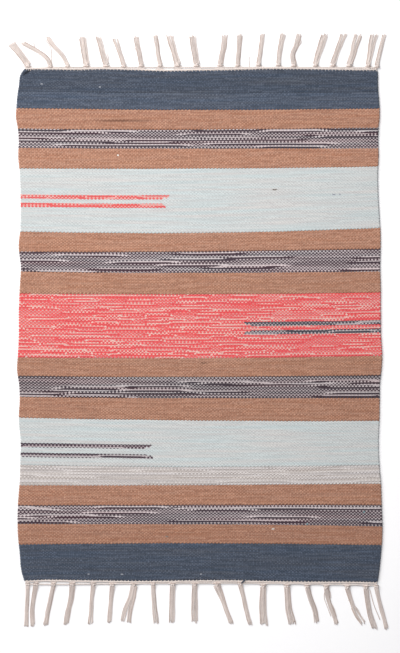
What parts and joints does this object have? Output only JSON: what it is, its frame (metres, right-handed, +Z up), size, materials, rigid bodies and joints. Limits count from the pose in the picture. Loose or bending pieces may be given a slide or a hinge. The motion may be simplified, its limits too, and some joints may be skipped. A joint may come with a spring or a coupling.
{
  "type": "kilim rug",
  "caption": "Flat-woven cotton kilim rug with cross stripes, short woven-in lines and a knotted fringe at both short ends; it lies flat on a floor.",
  "frame": {"origin": "middle of the whole rug's footprint, fringes included, on the floor", "axes": "+Z up from the floor, +Y along the rug towards its upper fringe, +X across the rug"},
  "size_m": [0.6334, 1.0022, 0.0052],
  "materials": {
    "tan_weft": "dyed cotton weft, matt, plain weave",
    "bare_warp": "undyed twisted cotton warp ends, matt",
    "slate_weft": "slate navy cotton weft, matt, plain weave",
    "pale_weft": "pale aqua grey cotton weft, matt, plain weave",
    "coral_weft": "coral cotton weft with pinkish white flecks, matt",
    "mixed_weft": "weft of plum and off-white yarns together, matt",
    "greige_weft": "grey-beige and cream cotton weft, matt"
  },
  "bodies": {
    "root": {"woven_cloth": "tan_weft", "fringe_upper": "bare_warp", "fringe_lower": "bare_warp"}
  },
  "joints": []
}
